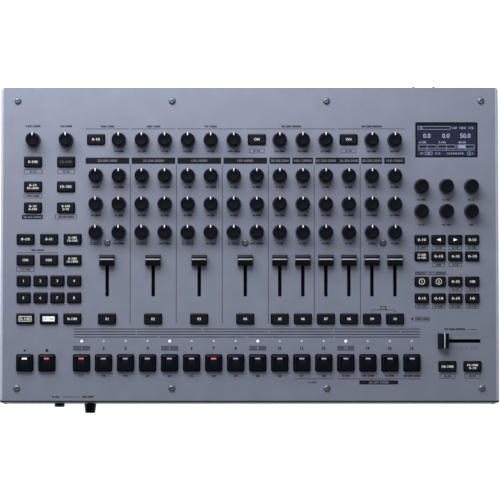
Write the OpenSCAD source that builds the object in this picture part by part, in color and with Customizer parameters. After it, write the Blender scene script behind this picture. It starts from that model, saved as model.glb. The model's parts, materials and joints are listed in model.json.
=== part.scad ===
// Desktop drum machine with a sloping control panel.
// Millimetres. +X right, +Y rear, +Z up; the origin is on the table, under the middle.
// Places on the panel are [u, v]: u to the right and v up the slope, from the panel's middle.

/* [Case] */
// Overall width across both side panels
case_w = 486; // [484:1:500]
// Depth of the control panel, measured along its slope
panel_d = 306.8; // [304:0.1:320]
// Slope of the control panel, rising to the rear
slope = 4; // [2:0.5:6]
// Height of the case at its front edge, above the feet
front_h = 44; // [42:1:54]
// Thickness of the aluminium control panel
panel_t = 2; // [1.5:0.1:2.2]
// Thickness of each side panel
side_t = 3; // [3:0.5:5]
// Rounding of the side panels' outer edges
side_round = 2.4; // [1:0.2:2.8]
// How far the side panels stand out past the front and rear walls
side_proud = 0.8; // [0:0.1:1.5]
// Thickness of the steel bottom case
shell_t = 1.5; // [1:0.1:2]
// Height of the rubber feet
foot_h = 5; // [3:0.5:8]

/* [Knobs] */
// Diameter of a knob at its foot
knob_d = 14.6; // [13:0.1:15.4]
// Diameter of a knob at its top
knob_top_d = 13; // [11:0.1:14]
// Height of a knob's top above the panel
knob_h = 13; // [11:0.5:15]
// Distance between the knob columns
col_pitch = 22.4; // [22:0.1:22.6]
// Distance between the rows of strip knobs
row_pitch = 27.5; // [26:0.1:28]

/* [Faders] */
// Length of a fader cap, across its travel
fader_cap_w = 15.1; // [13:0.1:16]
// Width of a fader cap, along its travel
fader_cap_d = 10.7; // [10:0.1:12.4]
// Height of a fader cap's ridge above the panel
fader_cap_h = 12; // [10:0.5:14]
// Travel of a fader
fader_travel = 33; // [30:0.5:34]
// Width of a fader's slot
slot_w = 2.9; // [2.2:0.1:3.4]

/* [Buttons] */
// Width of an ordinary button
button_w = 17; // [16:0.1:18]
// Depth of an ordinary button
button_d = 9.9; // [9:0.1:11.4]
// Width of the close-set variation buttons
variation_w = 13.3; // [13:0.1:14.6]
// Width of the close-set menu buttons
menu_w = 13.3; // [13:0.1:14.6]
// Depth of the close-set menu buttons
menu_d = 9; // [8:0.1:10]
// Pitch of the close-set buttons
close_pitch = 16.4; // [16.4:0.1:17]
// Height of a button above the panel
button_rise = 2.6; // [2:0.1:3.4]
// Travel of a button
button_travel = 1.2; // [0.8:0.1:1.4]

/* [Step keys] */
// Side of a square step key
key_w = 16.3; // [15:0.1:18]
// Pitch of the step keys
key_pitch = 21.4; // [21:0.1:21.6]
// Height of a step key above the panel
key_rise = 5; // [4:0.1:6]
// Travel of a step key
key_travel = 2; // [1.5:0.1:2.2]

/* [Display] */
// Width of the display window
window_w = 60.9; // [56:0.1:62]
// Depth of the display window
window_d = 34.5; // [32:0.1:36]

/* [Sockets] */
// Bore radius of a 6.35 mm jack socket
jack_r = 3.2; // [3.2:0.05:3.4]
// Distance between the sockets on the rear wall
jack_pitch = 24; // [20:0.5:26]

/* [Hidden] */
$fn = 48;

// Case frame: front and rear walls, the panel's middle and its underside
nose_reach = 9.6;
hook_reach = 8.5;
case_d = panel_d * cos(slope);
front_y = (nose_reach - hook_reach - case_d) / 2;
rear_y = front_y + case_d;
mid_y = front_y + case_d / 2;
mid_z = foot_h + front_h + panel_d / 2 * sin(slope);
inner_w = case_w - 2 * side_t;

// Layers under the panel, as heights along its normal
board_top = -14;
board_t = 1.6;
slide_top = -7;
switch_top = -9.5;

// Clearance round a cap, and the flange below the panel that keeps it in
gap = 0.45;
flange_t = 1;
flange_lap = 0.75;

// Shafts of the knobs, and how far up a knob's bore reaches
shaft_r = 3;
knob_bore_top = 9;

// A fader's blade through the slot, and the carriage below it
blade_t = 1.2;
blade_d = 4;
carriage_d = 7;

// Rows and columns of the controls
first_col = -149.6;
top_v = 101.8;
strip_v = 66.8;
left_u = [-210.9, -178.7];
effect_v = 102.4;
mode_v = [80.4, 56.2, 35.7];
pattern_u = -217.9;
pattern_pitch = 22.9;
pattern_v = [5, -15.4, -72.5];
variation_u = -219.6;
variation_v = [-35.6, -52.1];
instrument_v = -72.6;
fader_rest_v = -15;
menu_u = 167.7;
menu_v = [4.4, -11.7, -36.3, -52.6];
encoder_u = 167.6;
encoder_v = 56.5;
encoder_pitch = 24.3;
morph_u = 188.9;
morph_v = -94;
performance_u = 192.4;
performance_v = -118.8;
start_u = -218.2;
step_u = -163.1;
key_v = -115.3;
lamp_v = -94.2;
window_at = [192.3, 102.1];

function col(i) = first_col + i * col_pitch;

strips = 14;
fader_cols = [0.5, 2.5, 4.5, 6.5, 8, 9, 10, 11, 12, 13];
effect_cols = [0, 7, 11];
top_cols = [1, 2, 3, 4, 5, 6, 8, 9, 10, 12, 13];
faders = len(fader_cols);

top_knob_at = concat(
    [for (u = left_u) [u, top_v]],
    [for (i = top_cols) [col(i), top_v]]
);
strip_knob_at = [for (j = [0 : 2], i = [0 : strips - 1]) [col(i), strip_v - j * row_pitch]];
encoder_at = [for (j = [0 : 1], i = [0 : 2]) [encoder_u + i * encoder_pitch, encoder_v - j * encoder_pitch]];
mode_at = [for (v = mode_v, u = left_u) [u, v]];
pattern_at = [for (v = pattern_v, i = [0 : 2]) [pattern_u + i * pattern_pitch, v]];
variation_at = [for (v = variation_v, i = [0 : 3]) [variation_u + i * close_pitch, v]];
effect_at = [for (i = effect_cols) [col(i), effect_v]];
instrument_at = [for (i = fader_cols) [col(i), instrument_v]];
menu_at = [for (v = menu_v, i = [0 : 3]) [menu_u + i * close_pitch, v]];
performance_at = [for (i = [0 : 1]) [performance_u + i * encoder_pitch, performance_v]];
start_at = [[start_u, key_v]];
stop_at = [[start_u + key_pitch, key_v]];
step_at = [for (i = [0 : 15]) [step_u + i * key_pitch, key_v]];
lamp_at = [for (p = step_at) [p[0], lamp_v]];
button_at = concat(
    mode_at, pattern_at, variation_at, effect_at, instrument_at, menu_at, performance_at
);
key_at = concat(start_at, stop_at, step_at);

// Screws: four along the rear and the front, three across the middle
screw_cols = [-226, -75.3, 75.3, 226];
mid_screw_cols = [0.5, 6.5, 12.5];
edge_screw_at = [for (v = [-140, 140], u = screw_cols) [u, v]];
mid_screw_at = [for (i = mid_screw_cols) [col(i), 1.5]];
screw_at = concat(edge_screw_at, mid_screw_at);
screw_r = 1.5;
post_r = 3.6;
shoulder_r = 5;

// Sockets on the front and rear walls
jack_z = foot_h + 19;
jack_len = 28;
jack_w = 15;
socket_board_z = jack_z - 9 - board_t;
phones_u = -186.6;
phones_knob_u = -156.4;
phones_z = foot_h + 18;
jack_us = [for (i = [0 : 5]) -208 + i * jack_pitch];
din_us = [-40, -14];
din_r = 7.6;
usb_u = 16;
inlet_u = 195;
power_u = 211;
hook_u = 173.5;
hook_span = 20;

top_knob_names = [
    "volume_knob", "input_level_knob", "accent_knob",
    "reverb_level_knob", "reverb_time_knob",
    "delay_level_knob", "delay_time_knob", "delay_feedback_knob",
    "master_effect_knob_1", "master_effect_knob_2", "master_effect_knob_3",
    "analog_effect_knob_1", "analog_effect_knob_2"
];

// ---- Helpers ----

// Moves from the panel's own frame, with its top at zero, to the table's frame.
module on_panel() {
    translate([0, mid_y, mid_z]) rotate([slope, 0, 0]) children();
}

// Copies the children to each place on the panel.
module at_each(places) {
    for (p = places) translate([p[0], p[1], 0]) children();
}

// A rectangle with round corners.
module rounded(w, d, r) {
    square([w - 2 * r, d], center = true);
    square([w, d - 2 * r], center = true);
    for (x = [-1, 1], y = [-1, 1])
        translate([x * (w / 2 - r), y * (d / 2 - r)]) circle(r, $fn = 32);
}

// A box from z0 up to z1, centred on the axis.
module block(w, d, z0, z1) {
    translate([-w / 2, -d / 2, z0]) cube([w, d, z1 - z0]);
}

// Points of an arc round c from angle a to angle b.
function arc(c, r, a, b, n = 6) =
    [for (i = [0 : n]) c + r * [cos(a + (b - a) * i / n), sin(a + (b - a) * i / n)]];

// Centre of the circle through p and q whose arc sinks by s into the left of p to q.
function scoop(p, q, s) =
    let (
        half = norm(q - p) / 2,
        r = (half * half + s * s) / (2 * s),
        along = (q - p) / (2 * half)
    )
    [(p + q) / 2 + (r - s) * [along[1], -along[0]], r];

// Height of the panel's underside above the table at a depth y.
function under_z(y) = mid_z + (y - mid_y) * tan(slope) - panel_t / cos(slope);

// ---- Case ----

// Every opening in the control panel.
module panel_openings() {
    wide_button_at = concat(mode_at, pattern_at, effect_at, instrument_at, performance_at);
    at_each(concat(top_knob_at, strip_knob_at, encoder_at)) circle(4.2, $fn = 32);
    at_each(wide_button_at) button_window(button_w, button_d);
    at_each(variation_at) button_window(variation_w, button_d);
    at_each(menu_at) button_window(menu_w, menu_d);
    at_each(concat(start_at, stop_at, step_at)) rounded(key_w + 2 * gap, key_w + 2 * gap, 2);
    at_each(lamp_at) circle(1.3, $fn = 24);
    at_each(screw_at) circle(screw_r, $fn = 24);
    for (i = [1 : faders]) fader_place(i) slot_outline();
    morph_place() slot_outline();
    translate(window_at) square([window_w - 3, window_d - 3], center = true);
}

module button_window(w, d) {
    rounded(w + 2 * gap, d + 2 * gap, 1.4);
}

// A slot as long as the travel, the blade and its clearance.
module slot_outline() {
    rounded(slot_w, fader_travel + blade_d + 1.2, 0.7);
}

module top_panel() {
    color("#7f8698") on_panel() difference() {
        translate([0, 0, -panel_t]) linear_extrude(panel_t) difference() {
            square([inner_w, panel_d], center = true);
            panel_openings();
        }
        translate([window_at[0], window_at[1], -1]) linear_extrude(2) rounded(window_w, window_d, 1);
    }
}

// The steel tray: floor, front wall and rear wall folded from one sheet, with the screw posts.
module bottom_case() {
    bend = 3;
    color("#1b1d22") difference() {
        union() {
            difference() {
                side_extrude(inner_w) tray_outline(0, bend);
                side_extrude(inner_w + 2) tray_outline(shell_t, bend - shell_t);
            }
            lips();
            intersection() {
                on_panel() {
                    at_each(screw_at) translate([0, 0, -90]) cylinder(r = post_r, h = 90 - panel_t);
                    at_each(mid_screw_at) translate([0, 0, -90]) cylinder(r = shoulder_r, h = 90 + board_top - board_t);
                }
                side_extrude(inner_w) tray_outline(0, bend);
            }
            board_posts();
        }
        on_panel() at_each(screw_at) translate([0, 0, -12]) cylinder(r = screw_r, h = 20, $fn = 24);
        front_wall_holes();
        rear_wall_holes();
    }
}

// Extrudes a side view, drawn as [y, z], to the given width.
module side_extrude(w) {
    translate([-w / 2, 0, 0]) rotate([90, 0, 90]) linear_extrude(w) children();
}

// Side view of the tray, drawn in by t, open upwards where t is above zero.
module tray_outline(t, r) {
    top = t > 0 ? 1 : 0;
    low = foot_h + t;
    front = front_y + t;
    rear = rear_y - t;
    polygon(concat(
        [[front, under_z(front) + top]],
        arc([front + r, low + r], r, 180, 270),
        arc([rear - r, low + r], r, 270, 360),
        [[rear, under_z(rear) + top]]
    ));
}

// Folded lips along the tops of the walls, under the panel's edges.
module lips() {
    on_panel() for (s = [-1, 1])
        translate([-inner_w / 2, s * (panel_d / 2 - 11) - 10, -panel_t - shell_t]) cube([inner_w, 20, shell_t]);
}

// Short posts that carry the socket board.
module board_posts() {
    for (x = [-210, -100, 10, 120, 222], y = [rear_y - 60, rear_y - 8])
        translate([x, y, foot_h + 0.5]) cylinder(d = 6, h = socket_board_z - foot_h - 0.5, $fn = 32);
}

module front_wall_holes() {
    wall_hole(phones_u, front_y, phones_z, 5.1);
    wall_hole(phones_knob_u, front_y, phones_z, 3.5);
}

module rear_wall_holes() {
    for (u = jack_us) wall_hole(u, rear_y, jack_z, 4.9);
    for (u = din_us) wall_hole(u, rear_y, jack_z, din_r);
    wall_hole(inlet_u, rear_y, jack_z, 4.5);
    translate([usb_u, rear_y, jack_z]) rotate([90, 0, 0]) linear_extrude(10, center = true) rounded(9.6, 3.8, 1.8);
    translate([power_u, rear_y, jack_z]) rotate([90, 0, 0]) linear_extrude(10, center = true) rounded(10.4, 7.4, 1);
}

module wall_hole(x, y, z, r) {
    translate([x, y, z]) rotate([90, 0, 0]) cylinder(r = r, h = 10, center = true);
}

// A side panel: a plate with the case's outline and a rolled outer edge.
module side_panel() {
    corner = 4;
    front = front_y - side_proud + corner;
    rear = rear_y + side_proud - corner;
    low = foot_h + corner;
    drop = corner / cos(slope) - panel_t / cos(slope);
    hull() for (c = [
        [front, low],
        [rear, low],
        [rear, under_z(rear) - drop],
        [front, under_z(front) - drop]
    ])
        translate([0, c[0], c[1]]) rotate([0, 90, 0]) rotate_extrude($fn = 40) polygon(concat(
            [[0, 0], [corner, 0]],
            arc([corner - side_round, side_t - side_round], side_round, 0, 90, 7),
            [[0, side_t]]
        ));
}

module right_side_panel() {
    color("#b9bdc9") translate([inner_w / 2, 0, 0]) side_panel();
}

module left_side_panel() {
    color("#b9bdc9") mirror([1, 0, 0]) translate([inner_w / 2, 0, 0]) side_panel();
}

// Domed screws with a cross recess.
module case_screws() {
    head_r = 3.4;
    head_h = 2.2;
    ball = (head_r * head_r + head_h * head_h) / (2 * head_h);
    color("#c9ccd2") on_panel() at_each(screw_at) difference() {
        union() {
            intersection() {
                translate([0, 0, head_h - ball]) sphere(ball, $fn = 64);
                cylinder(r = head_r + 1, h = head_h);
            }
            translate([0, 0, -10]) cylinder(r = screw_r, h = 10.5, $fn = 24);
        }
        for (a = [0, 90]) rotate([0, 0, a]) block(3.6, 0.9, head_h - 1.3, head_h + 1);
        translate([0, 0, head_h - 1.6]) cylinder(r1 = 0.3, r2 = 1.1, h = 1.7, $fn = 20);
    }
}

module rubber_feet() {
    color("#15161a") for (x = [-212, 212], y = [front_y + 26, rear_y - 26])
        translate([x, y, 0]) rotate_extrude() polygon([
            [0, 0], [8, 0], [8.8, 0.8], [9.6, foot_h], [0, foot_h]
        ]);
}

// ---- Display and lamps ----

module display_window() {
    color("#20222c") on_panel() translate([window_at[0], window_at[1], -1]) linear_extrude(1)
        rounded(window_w - 0.2, window_d - 0.2, 0.9);
}

// The screen and its frame, held under the panel on four legs.
module display_module() {
    color("#2c3048") on_panel() translate([window_at[0], window_at[1], 0]) {
        block(window_w - 3.6, window_d - 3.6, -panel_t - 1, -1);
        block(window_w + 6, window_d + 6, -panel_t - 5, -panel_t);
        for (x = [-1, 1], y = [-1, 1]) translate([x * 30, y * 17, 0]) block(4, 4, board_top, -panel_t - 4);
    }
}

// Light pipes that carry the light of the lamps up through the panel.
module beat_lamps() {
    color("#e6ecff") on_panel() at_each(lamp_at) rotate_extrude($fn = 32) polygon([
        [0, board_top], [2, board_top], [2, -panel_t], [1.2, -panel_t], [1.2, 0.2], [0.9, 0.5], [0, 0.5]
    ]);
}

// ---- Inside ----

// The control board under the panel and the socket board on the floor, both with holes for the posts.
module circuit_boards() {
    color("#1f5a3a") {
        on_panel() difference() {
            translate([0, -4, 0]) block(2 * 232, 252, board_top - board_t, board_top);
            at_each(mid_screw_at) translate([0, 0, board_top - 5]) cylinder(r = post_r + 0.2, h = 10);
        }
        difference() {
            translate([0, rear_y - 36, 0]) block(2 * 234, 66, socket_board_z, socket_board_z + board_t);
            on_panel() at_each(edge_screw_at) translate([0, 0, -90]) cylinder(r = post_r + 0.4, h = 80);
        }
    }
}

// Tact switches below the buttons and keys, and the power switch's housing.
module switch_bodies() {
    color("#2a2c30") {
        on_panel() at_each(concat(button_at, key_at)) tact_switch();
        translate([power_u, rear_y - 12, 0]) difference() {
            block(14, 16, socket_board_z + board_t, jack_z + 6);
            translate([0, 4, 0]) block(9.2, 14, jack_z - 3.6, jack_z + 3.6);
        }
    }
}

// A square switch with a round plunger.
module tact_switch() {
    block(6, 6, board_top, switch_top - 1);
    translate([0, 0, switch_top - 2]) cylinder(d = 3.4, h = 2, $fn = 24);
}

// Rotary potentiometers. Those of the strip knobs have their shafts drawn with them.
module potentiometers() {
    color("#3c4450") {
        on_panel() {
            at_each(concat(top_knob_at, encoder_at)) pot_housing();
            at_each(strip_knob_at) union() {
                pot_housing();
                translate([0, 0, board_top + 2]) cylinder(r = shaft_r, h = knob_bore_top - board_top - 2, $fn = 32);
            }
        }
        translate([phones_knob_u, front_y + shell_t + 0.5, phones_z]) rotate([-90, 0, 0]) difference() {
            block(11, 11, 0, 8);
            translate([0, 0, -1]) cylinder(r = shaft_r + gap, h = 6, $fn = 32);
        }
    }
}

// Housing of a potentiometer: a square can, a collar and the bore for the shaft.
module pot_housing() {
    difference() {
        union() {
            block(9.8, 11, board_top, -7.5);
            translate([0, 0, -8]) cylinder(r = 4.4, h = 4.5, $fn = 32);
        }
        translate([0, 0, board_top + 2]) cylinder(r = shaft_r + gap, h = 12, $fn = 32);
    }
}

// Slide potentiometers: channels with a slot along the top for the blade.
module slide_potentiometers() {
    color("#8d9096") on_panel() {
        for (i = [1 : faders]) fader_place(i) slide_channel();
        morph_place() slide_channel();
    }
}

module slide_channel() {
    run = fader_travel + carriage_d + 2;
    difference() {
        block(9, run + 6, board_top, slide_top);
        block(6.4, run, board_top + 0.8, slide_top - 1);
        block(2.4, run - 3, slide_top - 2, slide_top + 1);
    }
}

// ---- Sockets ----

// Line sockets: a moulded body, a threaded collar with its nut, and the plug's bore.
module line_jacks() {
    color("#17181c") for (u = jack_us) translate([u, rear_y, jack_z]) rotate([-90, 0, 0]) jack(3.2);
}

module phones_jack() {
    color("#141519") translate([phones_u, front_y, phones_z]) rotate([90, 0, 0]) jack(3.6);
}

// A jack socket that looks along +Z, with the wall's outer face at zero.
module jack(reach) {
    difference() {
        union() {
            translate([0, 0, -jack_len]) block(jack_w, 16, 0, jack_len - shell_t);
            cylinder(r = 4.8, h = 2 * (shell_t + 1), center = true);
            rotate_extrude() polygon([
                [0, 0], [5, 0], [5, reach - 0.6], [4.5, reach], [0, reach]
            ]);
        }
        translate([0, 0, -jack_len + 2]) cylinder(r = jack_r, h = jack_len + 10);
    }
}

// Two round data sockets, a flat data socket and the power inlet.
module data_and_power_ports() {
    color("#1c1d22") translate([0, rear_y, jack_z]) rotate([-90, 0, 0]) {
        for (u = din_us) translate([u, 0, 0]) din_socket();
        translate([usb_u, 0, 0]) difference() {
            union() {
                block(12, 9, -12, -shell_t);
                translate([0, 0, -4]) linear_extrude(4) rounded(9, 3.2, 1.5);
            }
            translate([0, 0, -8]) linear_extrude(10) rounded(8.4, 2.6, 1.2);
        }
        translate([inlet_u, 0, 0]) difference() {
            union() {
                block(12, 14, -14, -shell_t);
                translate([0, 0, -2]) cylinder(r = 4.3, h = 2.4);
            }
            translate([0, 0, -10]) difference() {
                cylinder(r = 3.1, h = 20);
                cylinder(r = 1, h = 9);
            }
        }
    }
}

// A round five-pin socket: shell, core and pin holes.
module din_socket() {
    difference() {
        union() {
            block(20, 18, -16, -shell_t);
            translate([0, 0, -2]) cylinder(r = din_r - 0.2, h = 2.4);
        }
        translate([0, 0, -9]) difference() {
            cylinder(r = 6.8, h = 12);
            cylinder(r = 5.6, h = 8.2);
        }
        for (a = [0 : 45 : 180]) rotate([0, 0, a]) translate([3.8, 0, -8]) cylinder(r = 0.8, h = 12, $fn = 20);
    }
}

// Two curled fingers on a plate, for looping the power cord.
module cord_hook() {
    finger_t = 1.6;
    plate_t = 1.4;
    color("#17181c") translate([hook_u, rear_y, jack_z]) {
        rotate([90, 0, 0]) translate([0, 0, -plate_t]) linear_extrude(plate_t) rounded(hook_span + 6, 12, 2);
        for (s = [-1, 1]) translate([s * hook_span / 2 - finger_t / 2, 0, 0]) rotate([90, 0, 90])
            linear_extrude(finger_t) polygon(concat(
                [[0.5, -1]],
                arc([hook_reach - 4, -1], 2.4, 270, 360),
                [[hook_reach - finger_t, 6]],
                arc([hook_reach - finger_t / 2, 6], finger_t / 2, 180, 0, 8),
                arc([hook_reach - 4, -1], 4, 360, 270),
                [[0.5, -5]]
            ));
    }
}

// ---- Knobs ----

// Side view of a knob: a tapered shell with a domed edge, hollow round its hub.
module knob_profile(bore) {
    low = 0.7;
    edge = 0.7;
    hub = 4.4;
    wall = 1.2;
    top_r = knob_top_d / 2;
    polygon(concat(
        [[hub, 4.6], [hub, low + 0.6], [bore, low + 0.6], [bore, knob_bore_top], [0, knob_bore_top]],
        [[0, knob_h - 0.25], [top_r - 1.6, knob_h - 0.25], [top_r - 1.4, knob_h]],
        arc([top_r - edge, knob_h - edge], edge, 90, 5, 5),
        [[knob_d / 2, low + 1], [knob_d / 2, low], [knob_d / 2 - wall, low], [knob_d / 2 - wall - 0.6, 4.6]]
    ));
}

// A pointer groove from the rim inwards, at twelve o'clock.
module pointer_groove() {
    translate([-0.6, 3.2, knob_h - 0.5]) cube([1.2, 6, 2]);
    translate([-0.6, knob_top_d / 2 - 0.35, knob_h - 4]) cube([1.2, 3, 5]);
}

// The 42 strip knobs, pressed on their potentiometers' shafts.
module strip_knobs() {
    color("#1c1f27") on_panel() at_each(strip_knob_at) difference() {
        rotate_extrude() knob_profile(shaft_r);
        pointer_groove();
    }
}

// A knob that turns, with the shaft it is fixed to.
module turning_knob(at, pointer = true) {
    color("#1c1f27") on_panel() translate([at[0], at[1], 0]) difference() {
        union() {
            rotate_extrude() knob_profile(shaft_r);
            translate([0, 0, board_top + 2.5]) cylinder(r = shaft_r, h = knob_bore_top - board_top - 2.4, $fn = 32);
        }
        if (pointer) pointer_groove();
    }
}

// The small knob on the front wall, with its shaft.
module phones_volume_knob() {
    color("#1c1f27") translate([phones_knob_u, front_y, phones_z]) rotate([90, 0, 0]) difference() {
        rotate_extrude() polygon([
            [0, -6], [shaft_r, -6], [shaft_r, 0.6], [5.85, 0.6], [5.85, 1.4],
            [4.9, nose_reach - 0.5], [4.4, nose_reach], [0, nose_reach]
        ]);
        translate([-0.5, 2, nose_reach - 0.4]) cube([1, 6, 2]);
    }
}

// ---- Faders ----

// Middle of a level fader's slot; its cap rests at the rear end.
module fader_place(i) {
    translate([col(fader_cols[i - 1]), fader_rest_v - fader_travel / 2, 0]) children();
}

// Middle of the cross fader's slot, turned so that its cap rests at the left end.
module morph_place() {
    translate([morph_u + fader_travel / 2, morph_v, 0]) rotate([0, 0, -90]) children();
}

// A fader: the cap, the blade through the slot and the carriage in the channel below.
module fader() {
    ridge_v = 0.5;
    ridge = 0.5;
    taper = 0.6;
    w = fader_cap_w / 2;
    d = fader_cap_d / 2;
    h = fader_cap_h;
    front_scoop = scoop([ridge_v - ridge, h], [-d + 0.7, h - 5], 0.7);
    rear_scoop = scoop([d - 0.9, h - 3.6], [ridge_v + ridge, h], 1.4);
    difference() {
        intersection() {
            translate([-w, 0, 0]) rotate([90, 0, 90]) linear_extrude(2 * w) polygon([
                [-d, 1], [d, 1], [d, h - 7], [d - 0.5, h - 3.6], [ridge_v + ridge, h],
                [ridge_v - ridge, h], [-d + 0.7, h - 5], [-d, h - 7.5]
            ]);
            rotate([90, 0, 0]) linear_extrude(3 * d, center = true) polygon([
                [-w, 0], [w, 0], [w, h - 7], [w - taper, h], [-w + taper, h], [-w, h - 7]
            ]);
        }
        for (s = [front_scoop, rear_scoop])
            translate([0, s[0][0], s[0][1]]) rotate([0, 90, 0]) cylinder(r = s[1], h = 30, center = true);
    }
    block(blade_t, blade_d, slide_top - 3, 2);
    block(5, carriage_d, board_top + 1.6, slide_top - 1.6);
}

module level_fader(i) {
    color("#1a1d24") on_panel() fader_place(i) translate([0, fader_travel / 2, 0]) fader();
}

module morph_fader() {
    color("#1a1d24") on_panel() morph_place() translate([0, -fader_travel / 2, 0]) fader();
}

// ---- Buttons and keys ----

// A cap with bevelled top edges, a flange below the panel and a stem down to its switch.
module cap(w, d, r, rise, bevel_w, bevel_h, travel) {
    low = -panel_t - gap - flange_t;
    intersection() {
        translate([0, 0, low]) linear_extrude(rise - low) rounded(w, d, r);
        rotate([90, 0, 0]) linear_extrude(2 * d, center = true) bevelled(w / 2, low, rise, bevel_w, bevel_h);
        rotate([90, 0, 90]) linear_extrude(2 * w, center = true) bevelled(d / 2, low, rise, bevel_w, bevel_h);
    }
    translate([0, 0, low]) linear_extrude(flange_t) square([w + 2 * flange_lap, d + 2 * flange_lap], center = true);
    block(3.2, 3.2, switch_top + travel + 0.4, low + 0.5);
}

module bevelled(half, low, rise, bevel_w, bevel_h) {
    polygon([
        [-half, low - 1], [half, low - 1], [half, rise - bevel_h],
        [half - bevel_w, rise], [-half + bevel_w, rise], [-half, rise - bevel_h]
    ]);
}

module buttons(places, w = button_w, d = button_d) {
    color("#1b1e25") on_panel() at_each(places) cap(w, d, 1.2, button_rise, 0.7, 0.5, button_travel);
}

// Square keys with a broad bevelled rim and a recess for the light.
module keys(places) {
    color("#24262d") on_panel() at_each(places) difference() {
        cap(key_w, key_w, 1.8, key_rise, 2, 1.2, key_travel);
        translate([0, 4.2, 0]) block(5, 1.6, key_rise - 0.6, key_rise + 1);
    }
}

module start_key() { keys(start_at); }
module stop_key() { keys(stop_at); }
module step_keys() { keys(step_at); }
module mode_buttons() { buttons(mode_at); }
module pattern_buttons() { buttons(pattern_at); }
module variation_buttons() { buttons(variation_at, variation_w); }
module effect_buttons() { buttons(effect_at); }
module instrument_buttons() { buttons(instrument_at); }
module menu_buttons() { buttons(menu_at, menu_w, menu_d); }
module performance_buttons() { buttons(performance_at); }

// The push switch on the rear wall.
module power_switch() {
    color("#1b1e25") translate([power_u, rear_y, jack_z]) rotate([-90, 0, 0]) {
        linear_extrude(3.6) rounded(9.4, 6.4, 0.8);
        translate([0, 0, -8]) linear_extrude(9) square([8, 6], center = true);
    }
}

// ---- Nodes ----

top_panel();
bottom_case();
left_side_panel();
right_side_panel();
case_screws();
rubber_feet();
display_window();
display_module();
beat_lamps();
circuit_boards();
switch_bodies();
potentiometers();
slide_potentiometers();
line_jacks();
phones_jack();
data_and_power_ports();
cord_hook();
strip_knobs();
for (i = [0 : len(top_knob_names) - 1])
    turning_knob(top_knob_at[i]);
for (i = [1 : 6])
    turning_knob(encoder_at[i - 1], pointer = false);
for (i = [1 : faders])
    level_fader(i);
morph_fader();
phones_volume_knob();
power_switch();
start_key();
stop_key();
step_keys();
mode_buttons();
pattern_buttons();
variation_buttons();
effect_buttons();
instrument_buttons();
menu_buttons();
performance_buttons();
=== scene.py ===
"""The looks of a desktop drum machine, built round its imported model."""
import json
import math

import bmesh
import bpy
import numpy as np
from mathutils import Matrix, Vector


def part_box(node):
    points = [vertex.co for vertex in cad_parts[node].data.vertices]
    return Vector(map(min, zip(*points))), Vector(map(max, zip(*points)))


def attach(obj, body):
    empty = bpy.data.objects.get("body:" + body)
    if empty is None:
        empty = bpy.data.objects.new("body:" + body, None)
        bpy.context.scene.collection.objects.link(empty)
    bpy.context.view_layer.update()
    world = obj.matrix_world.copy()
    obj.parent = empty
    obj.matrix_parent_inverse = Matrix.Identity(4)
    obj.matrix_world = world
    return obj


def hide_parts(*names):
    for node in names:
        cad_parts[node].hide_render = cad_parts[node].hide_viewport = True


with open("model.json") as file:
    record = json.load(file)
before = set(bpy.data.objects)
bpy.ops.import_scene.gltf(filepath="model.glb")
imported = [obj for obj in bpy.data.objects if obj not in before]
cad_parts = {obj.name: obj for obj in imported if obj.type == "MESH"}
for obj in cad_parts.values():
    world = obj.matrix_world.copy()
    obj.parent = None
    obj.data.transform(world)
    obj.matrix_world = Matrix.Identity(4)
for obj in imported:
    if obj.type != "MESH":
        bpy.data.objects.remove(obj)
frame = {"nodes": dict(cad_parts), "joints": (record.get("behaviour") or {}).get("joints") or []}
scene = bpy.context.scene
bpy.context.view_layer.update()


# ---- Control panel ----
# A 2 mm aluminium sheet, punched for every control and sprayed with satin metallic grey lacquer.
# Places on it are (u, v, h) in millimetres: right, up the slope and out, from its upper face's middle.
# The volume knob's joint gives the slope, because the knob turns about the panel's way out.

MM = 0.001
VOLUME_AT = (-210.9, 101.8)
volume_turn = next(joint for joint in frame["joints"] if joint["name"] == "volume_knob_turn")
outward = np.array(volume_turn["axis"])
rightward = np.array([1.0, 0.0, 0.0])
uphill = np.cross(outward, rightward)
middle = np.array(volume_turn["pos_m"]) - MM * (VOLUME_AT[0] * rightward + VOLUME_AT[1] * uphill)


def on_panel(points):
    """Points (n, 3) in the panel's millimetres as metres: its middle plus u, v and h along its three axes."""
    return middle + MM * (np.asarray(points, float) @ np.stack([rightward, uphill, outward]))


def linear(code, alpha=1.0):
    """Linear red, green, blue and alpha of an sRGB hex colour."""
    srgb = np.array([int(code[i:i + 2], 16) for i in (1, 3, 5)]) / 255
    rgb = np.where(srgb <= 0.04045, srgb / 12.92, ((srgb + 0.055) / 1.055) ** 2.4)
    return (*rgb, alpha)


def add(tree, kind, inputs=None, **settings):
    """Adds a node with its settings, and sets or links its inputs."""
    made = tree.nodes.new(kind)
    for key, value in settings.items():
        setattr(made, key, value)
    for key, value in (inputs or {}).items():
        if isinstance(value, bpy.types.NodeSocket):
            tree.links.new(value, made.inputs[key])
        else:
            made.inputs[key].default_value = value
    return made


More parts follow.
